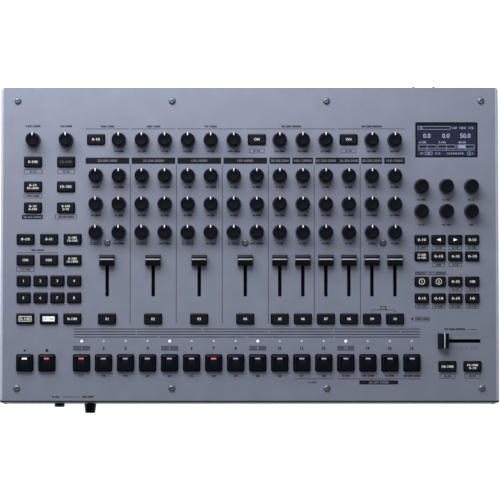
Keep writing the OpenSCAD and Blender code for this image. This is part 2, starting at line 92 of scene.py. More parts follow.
def surface(name, dark, light, grain, rough, bump=0.0, smear=18.0, **constants):
    """A material whose colour, roughness and relief follow noise of a real grain size in millimetres.

    Colour goes from dark to light by the sum of a fine noise (grain) and a broad one (smear), roughness
    follows the fine noise between its two values, and bump is the relief's height.
    The mixing node's inputs 0, 6 and 7 are its share and its two colours, and output 2 is their mixture.
    """
    material = bpy.data.materials.new(name)
    material.use_nodes = True
    tree = material.node_tree
    shader = tree.nodes["Principled BSDF"]
    for socket, value in constants.items():
        shader.inputs[socket.replace("_", " ")].default_value = value
    place = add(tree, "ShaderNodeTexCoord").outputs["Object"]
    fine = add(tree, "ShaderNodeTexNoise", {"Vector": place, "Scale": 1 / (MM * grain), "Detail": 3.0})
    broad = add(tree, "ShaderNodeTexNoise", {"Vector": place, "Scale": 1 / (MM * smear), "Detail": 2.0})
    both = add(tree, "ShaderNodeMath", {0: fine.outputs["Fac"], 1: broad.outputs["Fac"]}, operation="ADD")
    share = add(tree, "ShaderNodeMapRange", {"Value": both.outputs[0], "From Min": 0.6, "From Max": 1.4})
    mixed = {0: share.outputs[0], 6: linear(dark), 7: linear(light)}
    colour = add(tree, "ShaderNodeMix", mixed, data_type="RGBA")
    tree.links.new(colour.outputs[2], shader.inputs["Base Color"])
    gloss = add(tree, "ShaderNodeMapRange", {
        "Value": fine.outputs["Fac"], "From Min": 0.3, "From Max": 0.7,
        "To Min": rough[0], "To Max": rough[1],
    })
    tree.links.new(gloss.outputs[0], shader.inputs["Roughness"])
    if bump:
        relief = add(tree, "ShaderNodeBump", {"Height": fine.outputs["Fac"], "Distance": MM * bump})
        tree.links.new(relief.outputs[0], shader.inputs["Normal"])
    return material


def dress(material, *names):
    """Gives the CAD nodes of these names their material."""
    for name in names:
        slots = frame["nodes"][name].data.materials
        slots.clear()
        slots.append(material)


# Satin metallic lacquer: fine flakes and an even orange peel, with a soft, wide highlight.
lacquer = surface("satin_metallic_lacquer", "#8d929f", "#979ca9", 0.5, (0.44, 0.54), 0.004, Metallic=0.6)
dress(lacquer, "top_panel")


# ---- Bottom case ----
# The tray is folded from 1.5 mm steel and powder coated black: matt, with a fine pebbled skin. The panel
# is screwed to posts in it.

powder = surface("black_powder_coat", "#0b0c0f", "#121417", 0.7, (0.45, 0.60), 0.02, Specular_IOR_Level=0.2)
dress(powder, "bottom_case")


# ---- Side panels ----
# Aluminium strips with a rolled outer edge, bead blasted and clear anodised, one at either end. The blasting
# leaves a pale and even metal, nearly without a highlight.

anodised = surface("bead_blasted_anodised_aluminium", "#acb1bc", "#b9bec8", 0.4, (0.58, 0.68), 0.004,
                   Metallic=0.15)

SIDE_ROUND = 2.4
SIDE_CORNER = 4.0
SMOOTH_BELOW = 35


def make_piece(name, part, material, body, replaced=(), bend=SMOOTH_BELOW):
    """A mesh object from (points in metres, groups of faces) that rides on a body and takes the given
    material.

    It is smooth where its faces turn by less than bend degrees, and the nodes it replaces are hidden.
    """
    points, groups = part
    faces = [face for group in groups for face in group.tolist()]
    mesh = bpy.data.meshes.new(name)
    mesh.from_pydata(np.asarray(points).tolist(), [], faces)
    mesh.polygons.foreach_set("use_smooth", np.ones(len(mesh.polygons), bool))
    mesh.set_sharp_from_angle(angle=math.radians(bend))
    mesh.materials.append(material)
    piece = bpy.data.objects.new(name, mesh)
    scene.collection.objects.link(piece)
    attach(piece, body)
    if replaced:
        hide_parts(*replaced)
    return piece


def skin(rings, band=False):
    """Closed rings (k, n, 3), anticlockwise and stacked outwards, as points and groups of faces.

    Quads join neighbours, and a fan closes either end. In a band the last ring meets the first instead.
    """
    k, n, _ = rings.shape
    points = rings.reshape(-1, 3)
    j = np.arange(n)
    following = (j + 1) % n
    up = np.arange(k if band else k - 1)[:, None] * n
    over = (up + n) % (k * n)
    quads = np.stack([up + j, up + following, over + following, over + j], -1).reshape(-1, 4)
    if band:
        return points, [quads]
    points = np.concatenate([points, rings[:1].mean(1), rings[-1:].mean(1)])
    low = np.stack([following, j, np.full(n, k * n)], -1)
    high = np.stack([(k - 1) * n + j, (k - 1) * n + following, np.full(n, k * n + 1)], -1)
    return points, [quads, np.concatenate([low, high])]


def quarter(r, n=6):
    """Steps (inset, rise) of a quarter round of radius r: inset r(1 - cos a) and rise r sin a."""
    a = np.linspace(0, math.pi / 2, n)
    return np.stack([r * (1 - np.cos(a)), r * np.sin(a)], -1)


def strip_rings(name):
    """The case's side view with round corners, drawn in along a quarter round towards the outer face.

    The view's corner centres keep their places, and the arcs round them shrink by the inset.
    """
    low, high = (np.array(corner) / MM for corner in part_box(name))
    y = np.array([low[1] + SIDE_CORNER, high[1] - SIDE_CORNER])
    top = middle[2] / MM + (y - middle[1] / MM) * uphill[2] / uphill[1] - SIDE_CORNER / uphill[1]
    foot = low[2] + SIDE_CORNER
    centres = np.array([[y[0], foot], [y[1], foot], [y[1], top[1]], [y[0], top[0]]])
    a = np.radians([180, 270, 0, 90])[:, None] + np.linspace(0, math.pi / 2, 10)
    arcs = np.stack([np.cos(a), np.sin(a)], -1)
    steps = np.concatenate([[[0, 0]], quarter(SIDE_ROUND, 8) + [0, high[0] - low[0] - SIDE_ROUND]])
    views = centres[:, None] + (SIDE_CORNER - steps[:, 0])[:, None, None, None] * arcs
    views = views.reshape(len(steps), -1, 2)
    x = np.broadcast_to(steps[:, 1, None, None], (*views.shape[:2], 1))
    if low[0] > 0:
        return MM * np.concatenate([low[0] + x, views], -1)
    return MM * np.concatenate([high[0] - x, views], -1)[:, ::-1]


for end in ("right", "left"):
    strip = skin(strip_rings(end + "_side_panel"))
    make_piece(end + "_side_strip", strip, anodised, "case", [end + "_side_panel"])


# ---- Screws, front trim and feet ----
# Eleven nickel-plated button heads with a six-lobed recess hold the panel, whose front edge carries a thin
# black trim with a round stop at either end. Four moulded rubber feet carry the tray.

# Barrel plating gives a mid-grey metal with a wide highlight; the trim and the feet have hardly any.
nickel = surface("dull_nickel_plated_steel", "#6a6e76", "#83878f", 0.9, (0.40, 0.52), 0.003, Metallic=0.9)
trim_black = surface("matt_black_extrusion", "#121316", "#191b1f", 0.6, (0.50, 0.60), 0.006)
rubber = surface("moulded_rubber", "#101113", "#1a1b1d", 0.6, (0.70, 0.85), 0.02)

COL_0 = -149.6
COL_PITCH = 22.4
SCREW_R = 3.4
SCREW_H = 2.1
SCREW_FOOT = 0.2
SHANK_R = 1.5
SHANK_LOW = -10.0
RECESS_R = 1.35
LOBE = 0.2
EDGE_SCREW_U = (-226.0, -75.3, 75.3, 226.0)
EDGE_SCREW_V = (-140.0, 140.0)
MIDDLE_SCREW_COLS = (0.5, 6.5, 12.5)
MIDDLE_SCREW_V = 1.5
TRIM_W = 480.0
TRIM_D = 1.6
TRIM_V = -152.75
STOP_AT = [(-241.4, -152.6), (241.4, -152.6)]


def turned(view, n=56, lobe=0.0):
    """Rings of a side view (r, h) carried round the axis; with lobes the radius is r + lobe cos 6a."""
    a = np.arange(n) * 2 * math.pi / n
    r, h = view[:, :1], view[:, 1:]
    r = r + lobe * np.cos(6 * a)
    return np.stack([r * np.cos(a), r * np.sin(a), h + 0 * a], -1)


def screw_rings():
    """A screw from its point up: shank, dome, and the lobed recess down again.

    The dome is the ellipse r = R cos t, h = H sin t on a short upright foot.
    """
    t = np.linspace(0, math.acos((RECESS_R + LOBE + 0.15) / SCREW_R), 9)
    dome = np.stack([SCREW_R * np.cos(t), SCREW_FOOT + (SCREW_H - SCREW_FOOT) * np.sin(t)], -1)
    outside = np.concatenate([[[SHANK_R, SHANK_LOW], [SHANK_R, 0.0], [SCREW_R, 0.0]], dome])
    rim = dome[-1, 1]
    recess = np.array([[RECESS_R, rim], [RECESS_R - 0.08, rim - 0.12], [RECESS_R - 0.1, rim - 1.1]])
    floor = np.array([[0.5, rim - 1.25]])
    return np.concatenate([turned(outside, 48), turned(recess, 48, LOBE), turned(floor, 48)])


def copies(part, places):
    """The part, drawn in the panel's millimetres, repeated at each place (u, v) or (u, v, h), in metres."""
    points, groups = part
    places = np.array([(*place, 0.0)[:3] for place in places], float)
    spread = on_panel((places[:, None] + points[None]).reshape(-1, 3))
    shift = (np.arange(len(places)) * len(points))[:, None, None]
    return spread, [(shift + group[None]).reshape(-1, group.shape[1]) for group in groups]


def stack(rows, n=6, band=False):
    """Skin over rounded rectangles, each (width, depth, corner radius, height) and, off the axis, (u, v).

    A ring is the rectangle's four corner centres, each with a quarter arc of n points round it.
    """
    rows = np.array([(*row, 0.0, 0.0)[:6] for row in rows], float)
    w, d, r, h, u, v = (rows[:, i, None] for i in range(6))
    turn = np.repeat(np.arange(4), n)
    a = np.tile(np.linspace(0, math.pi / 2, n), 4) + turn * math.pi / 2
    ring_u = u + np.array([1, -1, -1, 1])[turn] * (w / 2 - r) + r * np.cos(a)
    ring_v = v + np.array([1, 1, -1, -1])[turn] * (d / 2 - r) + r * np.sin(a)
    return skin(np.stack([ring_u, ring_v, h + 0 * a], -1), band)


def col(i):
    """Place to the right of control column i, which may lie between two columns."""
    return COL_0 + COL_PITCH * i


screw = skin(screw_rings())
screw_at = [(u, v) for u in EDGE_SCREW_U for v in EDGE_SCREW_V]
screw_at += [(col(i), MIDDLE_SCREW_V) for i in MIDDLE_SCREW_COLS]
make_piece("panel_screws", copies(screw, screw_at), nickel, "case", ["case_screws"])
trim = stack([(TRIM_W, TRIM_D, 0.2, -2.1), (TRIM_W, TRIM_D, 0.2, 0.15), (TRIM_W, TRIM_D - 0.2, 0.1, 0.25)], 3)
make_piece("front_trim", copies(trim, [(0, TRIM_V)]), trim_black, "case")
stop = skin(turned(np.array([[1.1, -3.0], [1.1, 0.1], [0.9, 0.3], [0.3, 0.35]]), 24))
make_piece("trim_stops", copies(stop, STOP_AT), trim_black, "case")
dress(rubber, "rubber_feet")


# ---- Parts inside ----
# Boards under a glossy green solder mask, nylon switches and potentiometers, and slide channels of steel
# strip that is chemically blackened, all below the panel.

mask = surface("green_solder_mask", "#0d3a22", "#134a2c", 1.2, (0.25, 0.35))
nylon = surface("moulded_black_nylon", "#101114", "#191b1f", 0.5, (0.40, 0.55), 0.01)
blackened = surface("blackened_steel_channel", "#0b0c0e", "#131417", 1.5, (0.40, 0.55), 0.004, Metallic=0.3)
dress(mask, "circuit_boards")
dress(nylon, "switch_bodies", "potentiometers")
dress(blackened, "slide_potentiometers")


# ---- Sockets, power switch and hook ----
# Sockets, switch and cord hook are moulded in black PBT, which has a low, waxy gloss, and sit in openings
# of the front and rear walls.

socket_plastic = surface("moulded_pbt", "#0f1013", "#17191c", 0.5, (0.35, 0.48), 0.006)
dress(socket_plastic, "line_jacks", "phones_jack", "data_and_power_ports", "cord_hook", "power_switch")


# ---- Knobs ----
# Moulded ABS, tapered, with a fine matt texture, a rounded shoulder and a faintly dished top. A white
# line is moulded in from the rim inwards; the encoders below the display have none.

# The texture from the mould gives a blue-black that stays dark in the light; the line is clean and bright.
knob_abs = surface("matt_moulded_abs", "#060a0f", "#0b1117", 0.35, (0.32, 0.40), 0.006,
                   Specular_IOR_Level=0.13)
white_line = surface("white_filled_line", "#e2e5ea", "#f0f2f5", 0.6, (0.40, 0.50))

KNOB_R = 7.3
KNOB_TOP_R = 6.5
KNOB_H = 13.0
KNOB_LOW = 0.7
SHOULDER = 1.3
DISH = 0.3
LINE_W = 1.12
LINE_IN = 2.75
LINE_DOWN = 1.6
LINE_LIFT = 0.05
LINE_SINK = 0.25
SHAFT_R = 3.0
SHAFT_LOW = -11.4


def knob_view():
    """Side view (r, h) of a knob: shaft, foot, tapered wall, quarter-round shoulder and dished top.

    The dish falls with the square of the way in from the shoulder.
    """
    shoulder = quarter(SHOULDER, 8)
    low = [
        [SHAFT_R, SHAFT_LOW], [SHAFT_R, KNOB_LOW + 0.6], [KNOB_R - 0.9, KNOB_LOW + 0.6],
        [KNOB_R - 0.8, KNOB_LOW], [KNOB_R - 0.15, KNOB_LOW], [KNOB_R, KNOB_LOW + 0.15],
    ]
    rim = np.stack([KNOB_TOP_R - shoulder[:, 0], KNOB_H - SHOULDER + shoulder[:, 1]], -1)
    flat_r = KNOB_TOP_R - SHOULDER
    r = np.linspace(flat_r, 0.2, 7)[1:]
    dish = np.stack([r, KNOB_H - DISH * (1 - (r / flat_r) ** 2)], -1)
    return np.concatenate([low, rim, dish])


def ribbon(path, width, lift, sink):
    """Rings of a thin bar along a path in the (v, h) plane, from sink under the path to lift over it.

    A ring's corners are half the width to either side, and d along the path's normal.
    """
    ahead = np.gradient(path, axis=0)
    ahead /= np.linalg.norm(ahead, axis=1)[:, None]
    over = np.stack([-ahead[:, 1], ahead[:, 0]], -1)
    corners = [(-1, lift), (1, lift), (1, -sink), (-1, -sink)]
    aside = np.full((len(path), 1), width / 2)
    return np.stack([np.concatenate([s * aside, path + d * over], -1) for s, d in corners], 1)


def line_path():
    """The knob's side view as (v, h), from its line's inner end out over the shoulder and down the wall."""
    view = knob_view()
    inner = KNOB_TOP_R - LINE_IN
    seen = view[(view[:, 1] > KNOB_H - SHOULDER - 0.01) & (view[:, 0] > inner)][::-1]
    slope = (KNOB_R - KNOB_TOP_R) / (KNOB_H - SHOULDER - KNOB_LOW)
    start = [inner, KNOB_H - DISH * (1 - (inner / (KNOB_TOP_R - SHOULDER)) ** 2)]
    end = [KNOB_TOP_R + slope * (LINE_DOWN - SHOULDER), KNOB_H - LINE_DOWN]
    return np.concatenate([[start], seen, [end]])


ROW_PITCH = 27.5
TOP_ROW = 101.8
STRIP_ROW = 66.8
STRIPS = 14
LEFT_COLS = (-210.9, -178.7)
TOP_COLS = (1, 2, 3, 4, 5, 6, 8, 9, 10, 12, 13)
ENCODER_PITCH = 24.3
ENCODER_U = 167.6
ENCODER_V = (56.5, 56.5 - ENCODER_PITCH)

strip_at = [(col(i), STRIP_ROW - ROW_PITCH * j) for j in range(3) for i in range(STRIPS)]
top_at = [(u, TOP_ROW) for u in LEFT_COLS] + [(col(i), TOP_ROW) for i in TOP_COLS]
encoder_at = [(ENCODER_U + ENCODER_PITCH * i, v) for v in ENCODER_V for i in range(3)]
top_names = [
    "volume_knob", "input_level_knob", "accent_knob", "reverb_level_knob", "reverb_time_knob",
    "delay_level_knob", "delay_time_knob", "delay_feedback_knob", "master_effect_knob_1",
    "master_effect_knob_2", "master_effect_knob_3", "analog_effect_knob_1", "analog_effect_knob_2",
]
encoder_names = [f"encoder_knob_{i + 1}" for i in range(6)]

knob = skin(turned(knob_view()))
knob_line = skin(ribbon(line_path(), LINE_W, LINE_LIFT, LINE_SINK))
make_piece("strip_knob_caps", copies(knob, strip_at), knob_abs, "case", ["strip_knobs"])
make_piece("strip_knob_lines", copies(knob_line, strip_at), white_line, "case")
for name, place in zip(top_names + encoder_names, top_at + encoder_at):
    make_piece(name + "_cap", copies(knob, [place]), knob_abs, name + "_body", [name])
for name, place in zip(top_names, top_at):
    make_piece(name + "_line", copies(knob_line, [place]), white_line, name + "_body")
dress(knob_abs, "phones_volume_knob")


# ---- Faders ----
# Moulded ABS caps on steel blades. Each has a high crest with a white line, a scooped slope in front,
# and a deep scoop with a raised rear edge behind the crest.

# A satin mould gives the caps a wide, weak sheen; the line is printed, and the blades are bright strip.
cap_abs = surface("satin_moulded_abs", "#090d14", "#0f141c", 0.35, (0.38, 0.46), 0.004,
                  Specular_IOR_Level=0.18)
crest_line = surface("white_printed_crest", "#b9bdc6", "#c9cdd4", 0.6, (0.40, 0.50))
pressed_steel = surface("pressed_bright_steel", "#7f848c", "#999ea6", 1.5, (0.28, 0.42), 0.004, Metallic=1.0)

CAP_V = -0.7
CAP_W = 15.1
CAP_D = 10.7
CAP_H = 12.0
CAP_LOW = 1.0
CREST_V = 0.75
CREST_W = 0.95
CAP_TAPER = 0.9
TAPER_FROM = 5.0
CAP_ROUND = 0.5
CAP_BEND = 30
BLADE_LOW = -9.0
CARRIAGE_LOW = -12.4
CARRIAGE_TOP = -8.6


def bow(a, b, sag, n):
    """Points from a to b on a parabola that swells by sag to the right of the way between them."""
    t = np.linspace(0, 1, n)[:, None]
    way = np.subtract(b, a)
    aside = np.array([way[1], -way[0]]) / np.linalg.norm(way)
    return np.array(a) + t * way + 4 * sag * t * (1 - t) * aside


def cap_view():
    """Side view (v, h) of a fader cap, anticlockwise: rear wall and edge, scoop, crest, slope, front wall."""
    half = CAP_D / 2
    rear = CREST_V + CREST_W / 2
    front = CREST_V - CREST_W / 2
    return np.concatenate([
        [[half, CAP_LOW]],
        [[half, CAP_H - 7.0], [half - 0.15, CAP_H - 4.5], [half - 0.35, CAP_H - 4.1]],
        [[half - 0.6, CAP_H - 3.9], [half - 2.6, CAP_H - 3.4], [half - 2.8, CAP_H - 3.5]],
        bow((half - 2.9, CAP_H - 4.0), (rear + 0.1, CAP_H - 0.3), -0.3, 6),
        [[rear, CAP_H - 0.05], [front, CAP_H - 0.05]],
        bow((front - 0.2, CAP_H - 0.25), (-half + 0.8, CAP_H - 5.2), -0.7, 9),
        [[-half + 0.4, CAP_H - 5.5], [-half + 0.1, CAP_H - 6.1], [-half, CAP_H - 7.0], [-half, CAP_LOW]],
    ])


def cap_rings():
    """The side view at stations across the cap, drawn in along a quarter round at either end.

    Above a height the ends lean in, each station's place times 1 less a share that grows with height.
    """
    view = cap_view()
    inset, rise = quarter(CAP_ROUND).T
    half = CAP_W / 2
    across = np.concatenate([-half + CAP_ROUND - rise[::-1], half - CAP_ROUND + rise])
    drawn = np.concatenate([inset[::-1], inset])[:, None, None]
    core = np.array([0.0, CAP_H / 3])
    side = core + (view - core) * (1 - drawn / [CAP_D / 2, CAP_H * 2 / 3])
    side[:, :, 1] = np.maximum(side[:, :, 1], CAP_LOW)
    lean = 1 - CAP_TAPER / half * np.clip((side[:, :, 1] - TAPER_FROM) / (CAP_H - TAPER_FROM), 0, 1)
    return np.concatenate([(across[:, None] * lean)[..., None], side], -1)


def crest_rings():
    """A thin band carried over the crest and down both ends of the cap."""
    half = CAP_W / 2
    right = np.array([
        [half - CAP_TAPER - 0.5, CAP_H], [half - CAP_TAPER - 0.1, CAP_H - 0.15],
        [half - CAP_TAPER + 0.05, CAP_H - 0.6], [half, TAPER_FROM], [half, CAP_LOW + 0.3],
    ])
    path = np.concatenate([right[::-1] * [-1, 1], right])
    rings = ribbon(path, CREST_W, 0.04, 0.35)
    return np.stack([rings[..., 1], CREST_V - rings[..., 0], rings[..., 2]], -1)


def joined(parts):
    """Several (points, groups of faces) as one."""
    shift = np.cumsum([0] + [len(points) for points, _ in parts])
    return (np.concatenate([points for points, _ in parts]),
            [group + start for (_, groups), start in zip(parts, shift) for group in groups])


def turned_right(part, turns):
    """The part turned clockwise on the panel by 0 or 1 quarters, (u, v) to (v, -u)."""
    points, groups = part
    return (np.stack([points[:, 1], -points[:, 0], points[:, 2]], -1) if turns else points), groups


FADER_V = -15.0
FADER_COLS = (0.5, 2.5, 4.5, 6.5, 8, 9, 10, 11, 12, 13)
MORPH_AT = (188.9, -94.0)
cap = skin(cap_rings() + [0, CAP_V, 0])
crest = skin(crest_rings() + [0, CAP_V, 0])
blade = joined([
    stack([(1.2, 4.0, 0.2, BLADE_LOW), (1.2, 4.0, 0.2, CAP_LOW + 1)], 2),
    stack([(5.0, 7.0, 0.3, CARRIAGE_LOW), (5.0, 7.0, 0.3, CARRIAGE_TOP)], 2),
])
faders = [(f"level_fader_{i + 1}", (col(c), FADER_V), 0) for i, c in enumerate(FADER_COLS)]
for name, place, turns in [*faders, ("morph_fader", MORPH_AT, 1)]:
    pieces = [
        ("_cap", cap, cap_abs, [name]),
        ("_line", crest, crest_line, []),
        ("_blade", blade, pressed_steel, []),
    ]
    for part, shape, material, whole in pieces:
        placed = copies(turned_right(shape, turns), [place])
        make_piece(name + part, placed, material, name + "_body", whole, CAP_BEND)

# Near-black strips line the slot walls from the panel's underside to just over its face, and their edges show
# all round: painted shade inside the slots, with no highlight.
slot_shade_paint = surface("painted_shade_slot_lining", "#020304", "#050608", 0.4, (0.85, 0.95), 0.02, Specular_IOR_Level=0.05)
TRAVEL = 33.0
LINING_W = 3.4
LINING_L = TRAVEL + 5.4
LINING_LOW = -2.0
LINING_LIFT = 0.05
SLIT_IN_LINING = 2.5
shade_lining = stack([
    (LINING_W, LINING_L, 0.75, LINING_LOW), (LINING_W, LINING_L, 0.75, LINING_LIFT),
    (SLIT_IN_LINING, LINING_L - 0.6, 0.5, LINING_LIFT), (SLIT_IN_LINING, LINING_L - 0.6, 0.5, LINING_LOW),
], 4, True)
slots = [(u, v - TRAVEL / 2) for _, (u, v), _ in faders]
cross_slot = (MORPH_AT[0] + TRAVEL / 2, MORPH_AT[1])
# The strips in the slots are painted shade.
make_piece("slot_shade_linings", copies(shade_lining, slots), slot_shade_paint, "case")
make_piece("cross_slot_shade_lining", copies(turned_right(shade_lining, 1), [cross_slot]), slot_shade_paint, "case")


# ---- Buttons ----
# Polished black ABS with softly broken edges round a matt face. A flange below the panel holds each button
# in its opening, and a stem presses its switch.

# The rim is polished, and its near-black colour round the face is painted shade, darker than the same plastic
# on the face, whose fine texture catches a little of the softbox.
rim_abs = surface("polished_abs_painted_shade", "#030405", "#07080a", 0.35, (0.14, 0.20), Specular_IOR_Level=0.2)
button_abs = surface("fine_matt_moulded_abs", "#0c0f15", "#12151c", 0.35, (0.34, 0.42), 0.005,
                     Specular_IOR_Level=0.22)

PANEL_T = 2.0
GAP = 0.45
FLANGE_T = 1.0
FLANGE_LAP = 0.75
STEM = 3.2
BUTTON_RISE = 2.6
BUTTON_STEM_LOW = -7.9
BUTTON_W = 17.0
BUTTON_D = 9.9
BUTTON_ROUND = 1.55
BROKEN_EDGE = ((0.0, 0.55), (0.2, 0.32), (0.6, 0.12), (1.3, 0.0))
VARIATION_W = 13.3
MENU_W = 13.3
MENU_D = 9.0
CLOSE_PITCH = 16.4
RIM = 1.7
FACE_ROUND = 0.95
FACE_LIFT = 0.015
MENU_U = 167.7
PERFORMANCE_AT = (192.4, -118.8)
EFFECT_COLS = (0, 7, 11)
EFFECT_V = 102.4
INSTRUMENT_V = -72.6


def under_rows(w, d, r, stem_low):
    """Rows of a button below the panel's face: stem, flange, and the wall up through the opening."""
    low = -PANEL_T - GAP - FLANGE_T
    flange_w = w + 2 * FLANGE_LAP
    flange_d = d + 2 * FLANGE_LAP
    return [
        (STEM, STEM, 0.3, stem_low), (STEM, STEM, 0.3, low), (flange_w, flange_d, r, low),
        (flange_w, flange_d, r, low + FLANGE_T), (w, d, r, low + FLANGE_T),
    ]


def button(w, d):
    """A button's skin: the wall, then an edge broken in three steps, and the flat top."""
    top = [(w - i, d - i, BUTTON_ROUND - i / 4, BUTTON_RISE - fall) for i, fall in BROKEN_EDGE]
    return stack(under_rows(w, d, BUTTON_ROUND, BUTTON_STEM_LOW) + top)


def rows_of(u, v, pitch, n):
    """Places (u, v) of n buttons to the right of u on every height in v."""
    return [(u + pitch * i, height) for height in v for i in range(n)]


mode_at = rows_of(LEFT_COLS[0], (80.4, 56.2, 35.7), LEFT_COLS[1] - LEFT_COLS[0], 2)
performance_at = rows_of(PERFORMANCE_AT[0], PERFORMANCE_AT[1:], ENCODER_PITCH, 2)
button_groups = {
    "mode_buttons": (mode_at, BUTTON_W, BUTTON_D),
    "pattern_buttons": (rows_of(-217.9, (5.0, -15.4, -72.5), 22.9, 3), BUTTON_W, BUTTON_D),
    "variation_buttons": (rows_of(-219.6, (-35.6, -52.1), CLOSE_PITCH, 4), VARIATION_W, BUTTON_D),
    "effect_buttons": ([(col(i), EFFECT_V) for i in EFFECT_COLS], BUTTON_W, BUTTON_D),
    "instrument_buttons": ([(col(i), INSTRUMENT_V) for i in FADER_COLS], BUTTON_W, BUTTON_D),
    "menu_buttons": (rows_of(MENU_U, (4.4, -11.7, -36.3, -52.6), CLOSE_PITCH, 4), MENU_W, MENU_D),
    "performance_buttons": (performance_at, BUTTON_W, BUTTON_D),
}
for name, (places, w, d) in button_groups.items():
    whole = copies(button(w, d), places)
    face = stack([(w - RIM, d - RIM, FACE_ROUND, BUTTON_RISE + lift) for lift in (-0.2, FACE_LIFT)])
    # The caps' near-black rim is painted shade round each face.
    make_piece(name + "_caps", whole, rim_abs, name + "_body", [name])
    make_piece(name + "_faces", copies(face, places), button_abs, name + "_body")


# ---- Step keys ----
# Square moulded keys with a broad bevelled rim round a slightly sunk field, and a slit with a lens. A
# flange and a stem hold and press them as they do the buttons.

# The keys are deep black with hardly any sheen; the lighter ring round the field's edge is a painted
# highlight, where the rim catches the light.
key_abs = surface("satin_key_abs", "#080c10", "#0e1318", 0.35, (0.34, 0.44), 0.005, Specular_IOR_Level=0.05)
key_edge = surface("painted_highlight_key_edge", "#1b2126", "#252c31", 0.35, (0.30, 0.38), Specular_IOR_Level=0.25)


def glowing(name, code, strength, base="#d8dce6"):
    """A moulded lens of pale diffusing plastic that glows in its colour, a little uneven: lit from inside
    where its lamp is on, and a painted glow where it is unlit.
    """
    return surface(name, base, code, 0.8, (0.30, 0.40), smear=4.0,
                   Emission_Color=linear(code), Emission_Strength=strength)


red_lens = glowing("lit_red_lens", "#f8646e", 0.62, "#8a262c")
white_lens = glowing("lit_white_lens", "#fbfcff", 0.8)
# The unlit lenses get a weak painted glow.
painted_glow_lens = glowing("milky_lens_painted_glow", "#a2a2bf", 0.2, "#a6a5be")

KEY_W = 16.3
KEY_ROUND = 1.8
KEY_RISE = 5.0
KEY_STEM_LOW = -7.1
BEVEL_IN = 12.3
FIELD_FALL = 0.22
KEY_V = -115.3
KEY_PITCH = 21.4
STEP_U = -163.1
START_U = -218.2
SLIT_V = 4.2
SLIT_W = 5.0
SLIT_D = 1.6
LENS_PLAY = 0.1
RED_STEPS = (0, 6)


def key():
    """A key's skin: wall, rounded edge, broad bevel, the field's step down and the slit."""
    field = KEY_RISE - FIELD_FALL
    wall = under_rows(KEY_W, KEY_W, KEY_ROUND, KEY_STEM_LOW)
    squares = [
        (KEY_W, KEY_ROUND, KEY_RISE - 1.6), (KEY_W - 0.15, KEY_ROUND, KEY_RISE - 1.38),
        (KEY_W - 0.5, 1.75, KEY_RISE - 1.2), (BEVEL_IN, 1.1, KEY_RISE - 0.06),
        (12.0, 1.0, KEY_RISE), (11.6, 0.9, KEY_RISE), (11.3, 0.8, field),
    ]
    slit = [
        (SLIT_W + 0.3, SLIT_D + 0.3, 0.5, field, 0, SLIT_V), (SLIT_W, SLIT_D, 0.4, field - 0.1, 0, SLIT_V),
        (SLIT_W, SLIT_D, 0.4, KEY_RISE - 0.6, 0, SLIT_V),
    ]
    return stack(wall + [(w, w, r, h) for w, r, h in squares] + slit)


lens = stack([
    (SLIT_W - LENS_PLAY, SLIT_D - LENS_PLAY, 0.35, KEY_RISE - 1.0, 0, SLIT_V),
    (SLIT_W - LENS_PLAY, SLIT_D - LENS_PLAY, 0.35, KEY_RISE - 0.45, 0, SLIT_V),
    (SLIT_W - 0.5, SLIT_D - 0.5, 0.25, KEY_RISE - 0.3, 0, SLIT_V),
])
edge = stack([
    (13.4, 13.4, 1.35, KEY_RISE - 0.6), (13.4, 13.4, 1.35, KEY_RISE - 0.4),
    (12.95, 12.95, 1.25, KEY_RISE - 0.24), (12.95, 12.95, 1.25, KEY_RISE - 0.5),
], 6, True)
step_at = [(STEP_U + KEY_PITCH * i, KEY_V) for i in range(16)]
start_at = [(START_U, KEY_V)]
stop_at = [(START_U + KEY_PITCH, KEY_V)]
red_at = [step_at[i] for i in RED_STEPS]
dim_at = [place for place in step_at if place not in red_at]
# Each key gets a lighter ring on its bevel as a painted highlight, then its cap.
for node, places, caps in [("start_key", start_at, "start_key_cap"), ("stop_key", stop_at, "stop_key_cap"),
                           ("step_keys", step_at, "step_key_caps")]:
    make_piece(node + "_edge", copies(edge, places), key_edge, node + "_body")
    make_piece(caps, copies(key(), places), key_abs, node + "_body", [node])
make_piece("start_key_lens", copies(lens, start_at), white_lens, "start_key_body")
make_piece("stop_key_lens", copies(lens, stop_at), red_lens, "stop_key_body")
make_piece("step_key_lit_lenses", copies(lens, red_at), red_lens, "step_keys_body")
# The unlit lenses' glow is painted light.
make_piece("step_key_dim_lenses", copies(lens, dim_at), painted_glow_lens, "step_keys_body")


# ---- Beat lamps ----
# Clear light pipes with a chamfered end, one over each step key; every fourth one is lit, and the rest have a
# weak painted glow. Their wider part stays under the panel, whose holes they fill from below.

painted_glow_pipe = glowing("painted_glow_light_pipe", "#a9aecb", 0.3)
LAMP_V = -94.2
pipe_view = [[2.0, -14.0], [2.0, -2.0], [0.97, -2.0], [0.97, 0.2], [0.88, 0.38], [0.7, 0.5], [0.3, 0.5]]
pipe = skin(turned(np.array(pipe_view), 24))
lamp_at = [(u, LAMP_V) for u, _ in step_at]
unlit_at = [place for i, place in enumerate(lamp_at) if i % 4]
make_piece("lit_lamps", copies(pipe, lamp_at[::4]), white_lens, "case", ["beat_lamps"])
# The unlit pipes glow weakly: painted light.
make_piece("unlit_lamps", copies(pipe, unlit_at), painted_glow_pipe, "case")


# ---- Display ----
# A clear window with a black printed border lies in a recess of the panel, over a lit indigo screen, and
# the dark display module is below it.

WINDOW_AT = (192.3, 102.1)
WINDOW_W = 60.9
WINDOW_D = 34.5
FIELD_W = 57.5
FIELD_D = 29.9
FIELD_V = -0.7
FIELD_LOW = -0.25

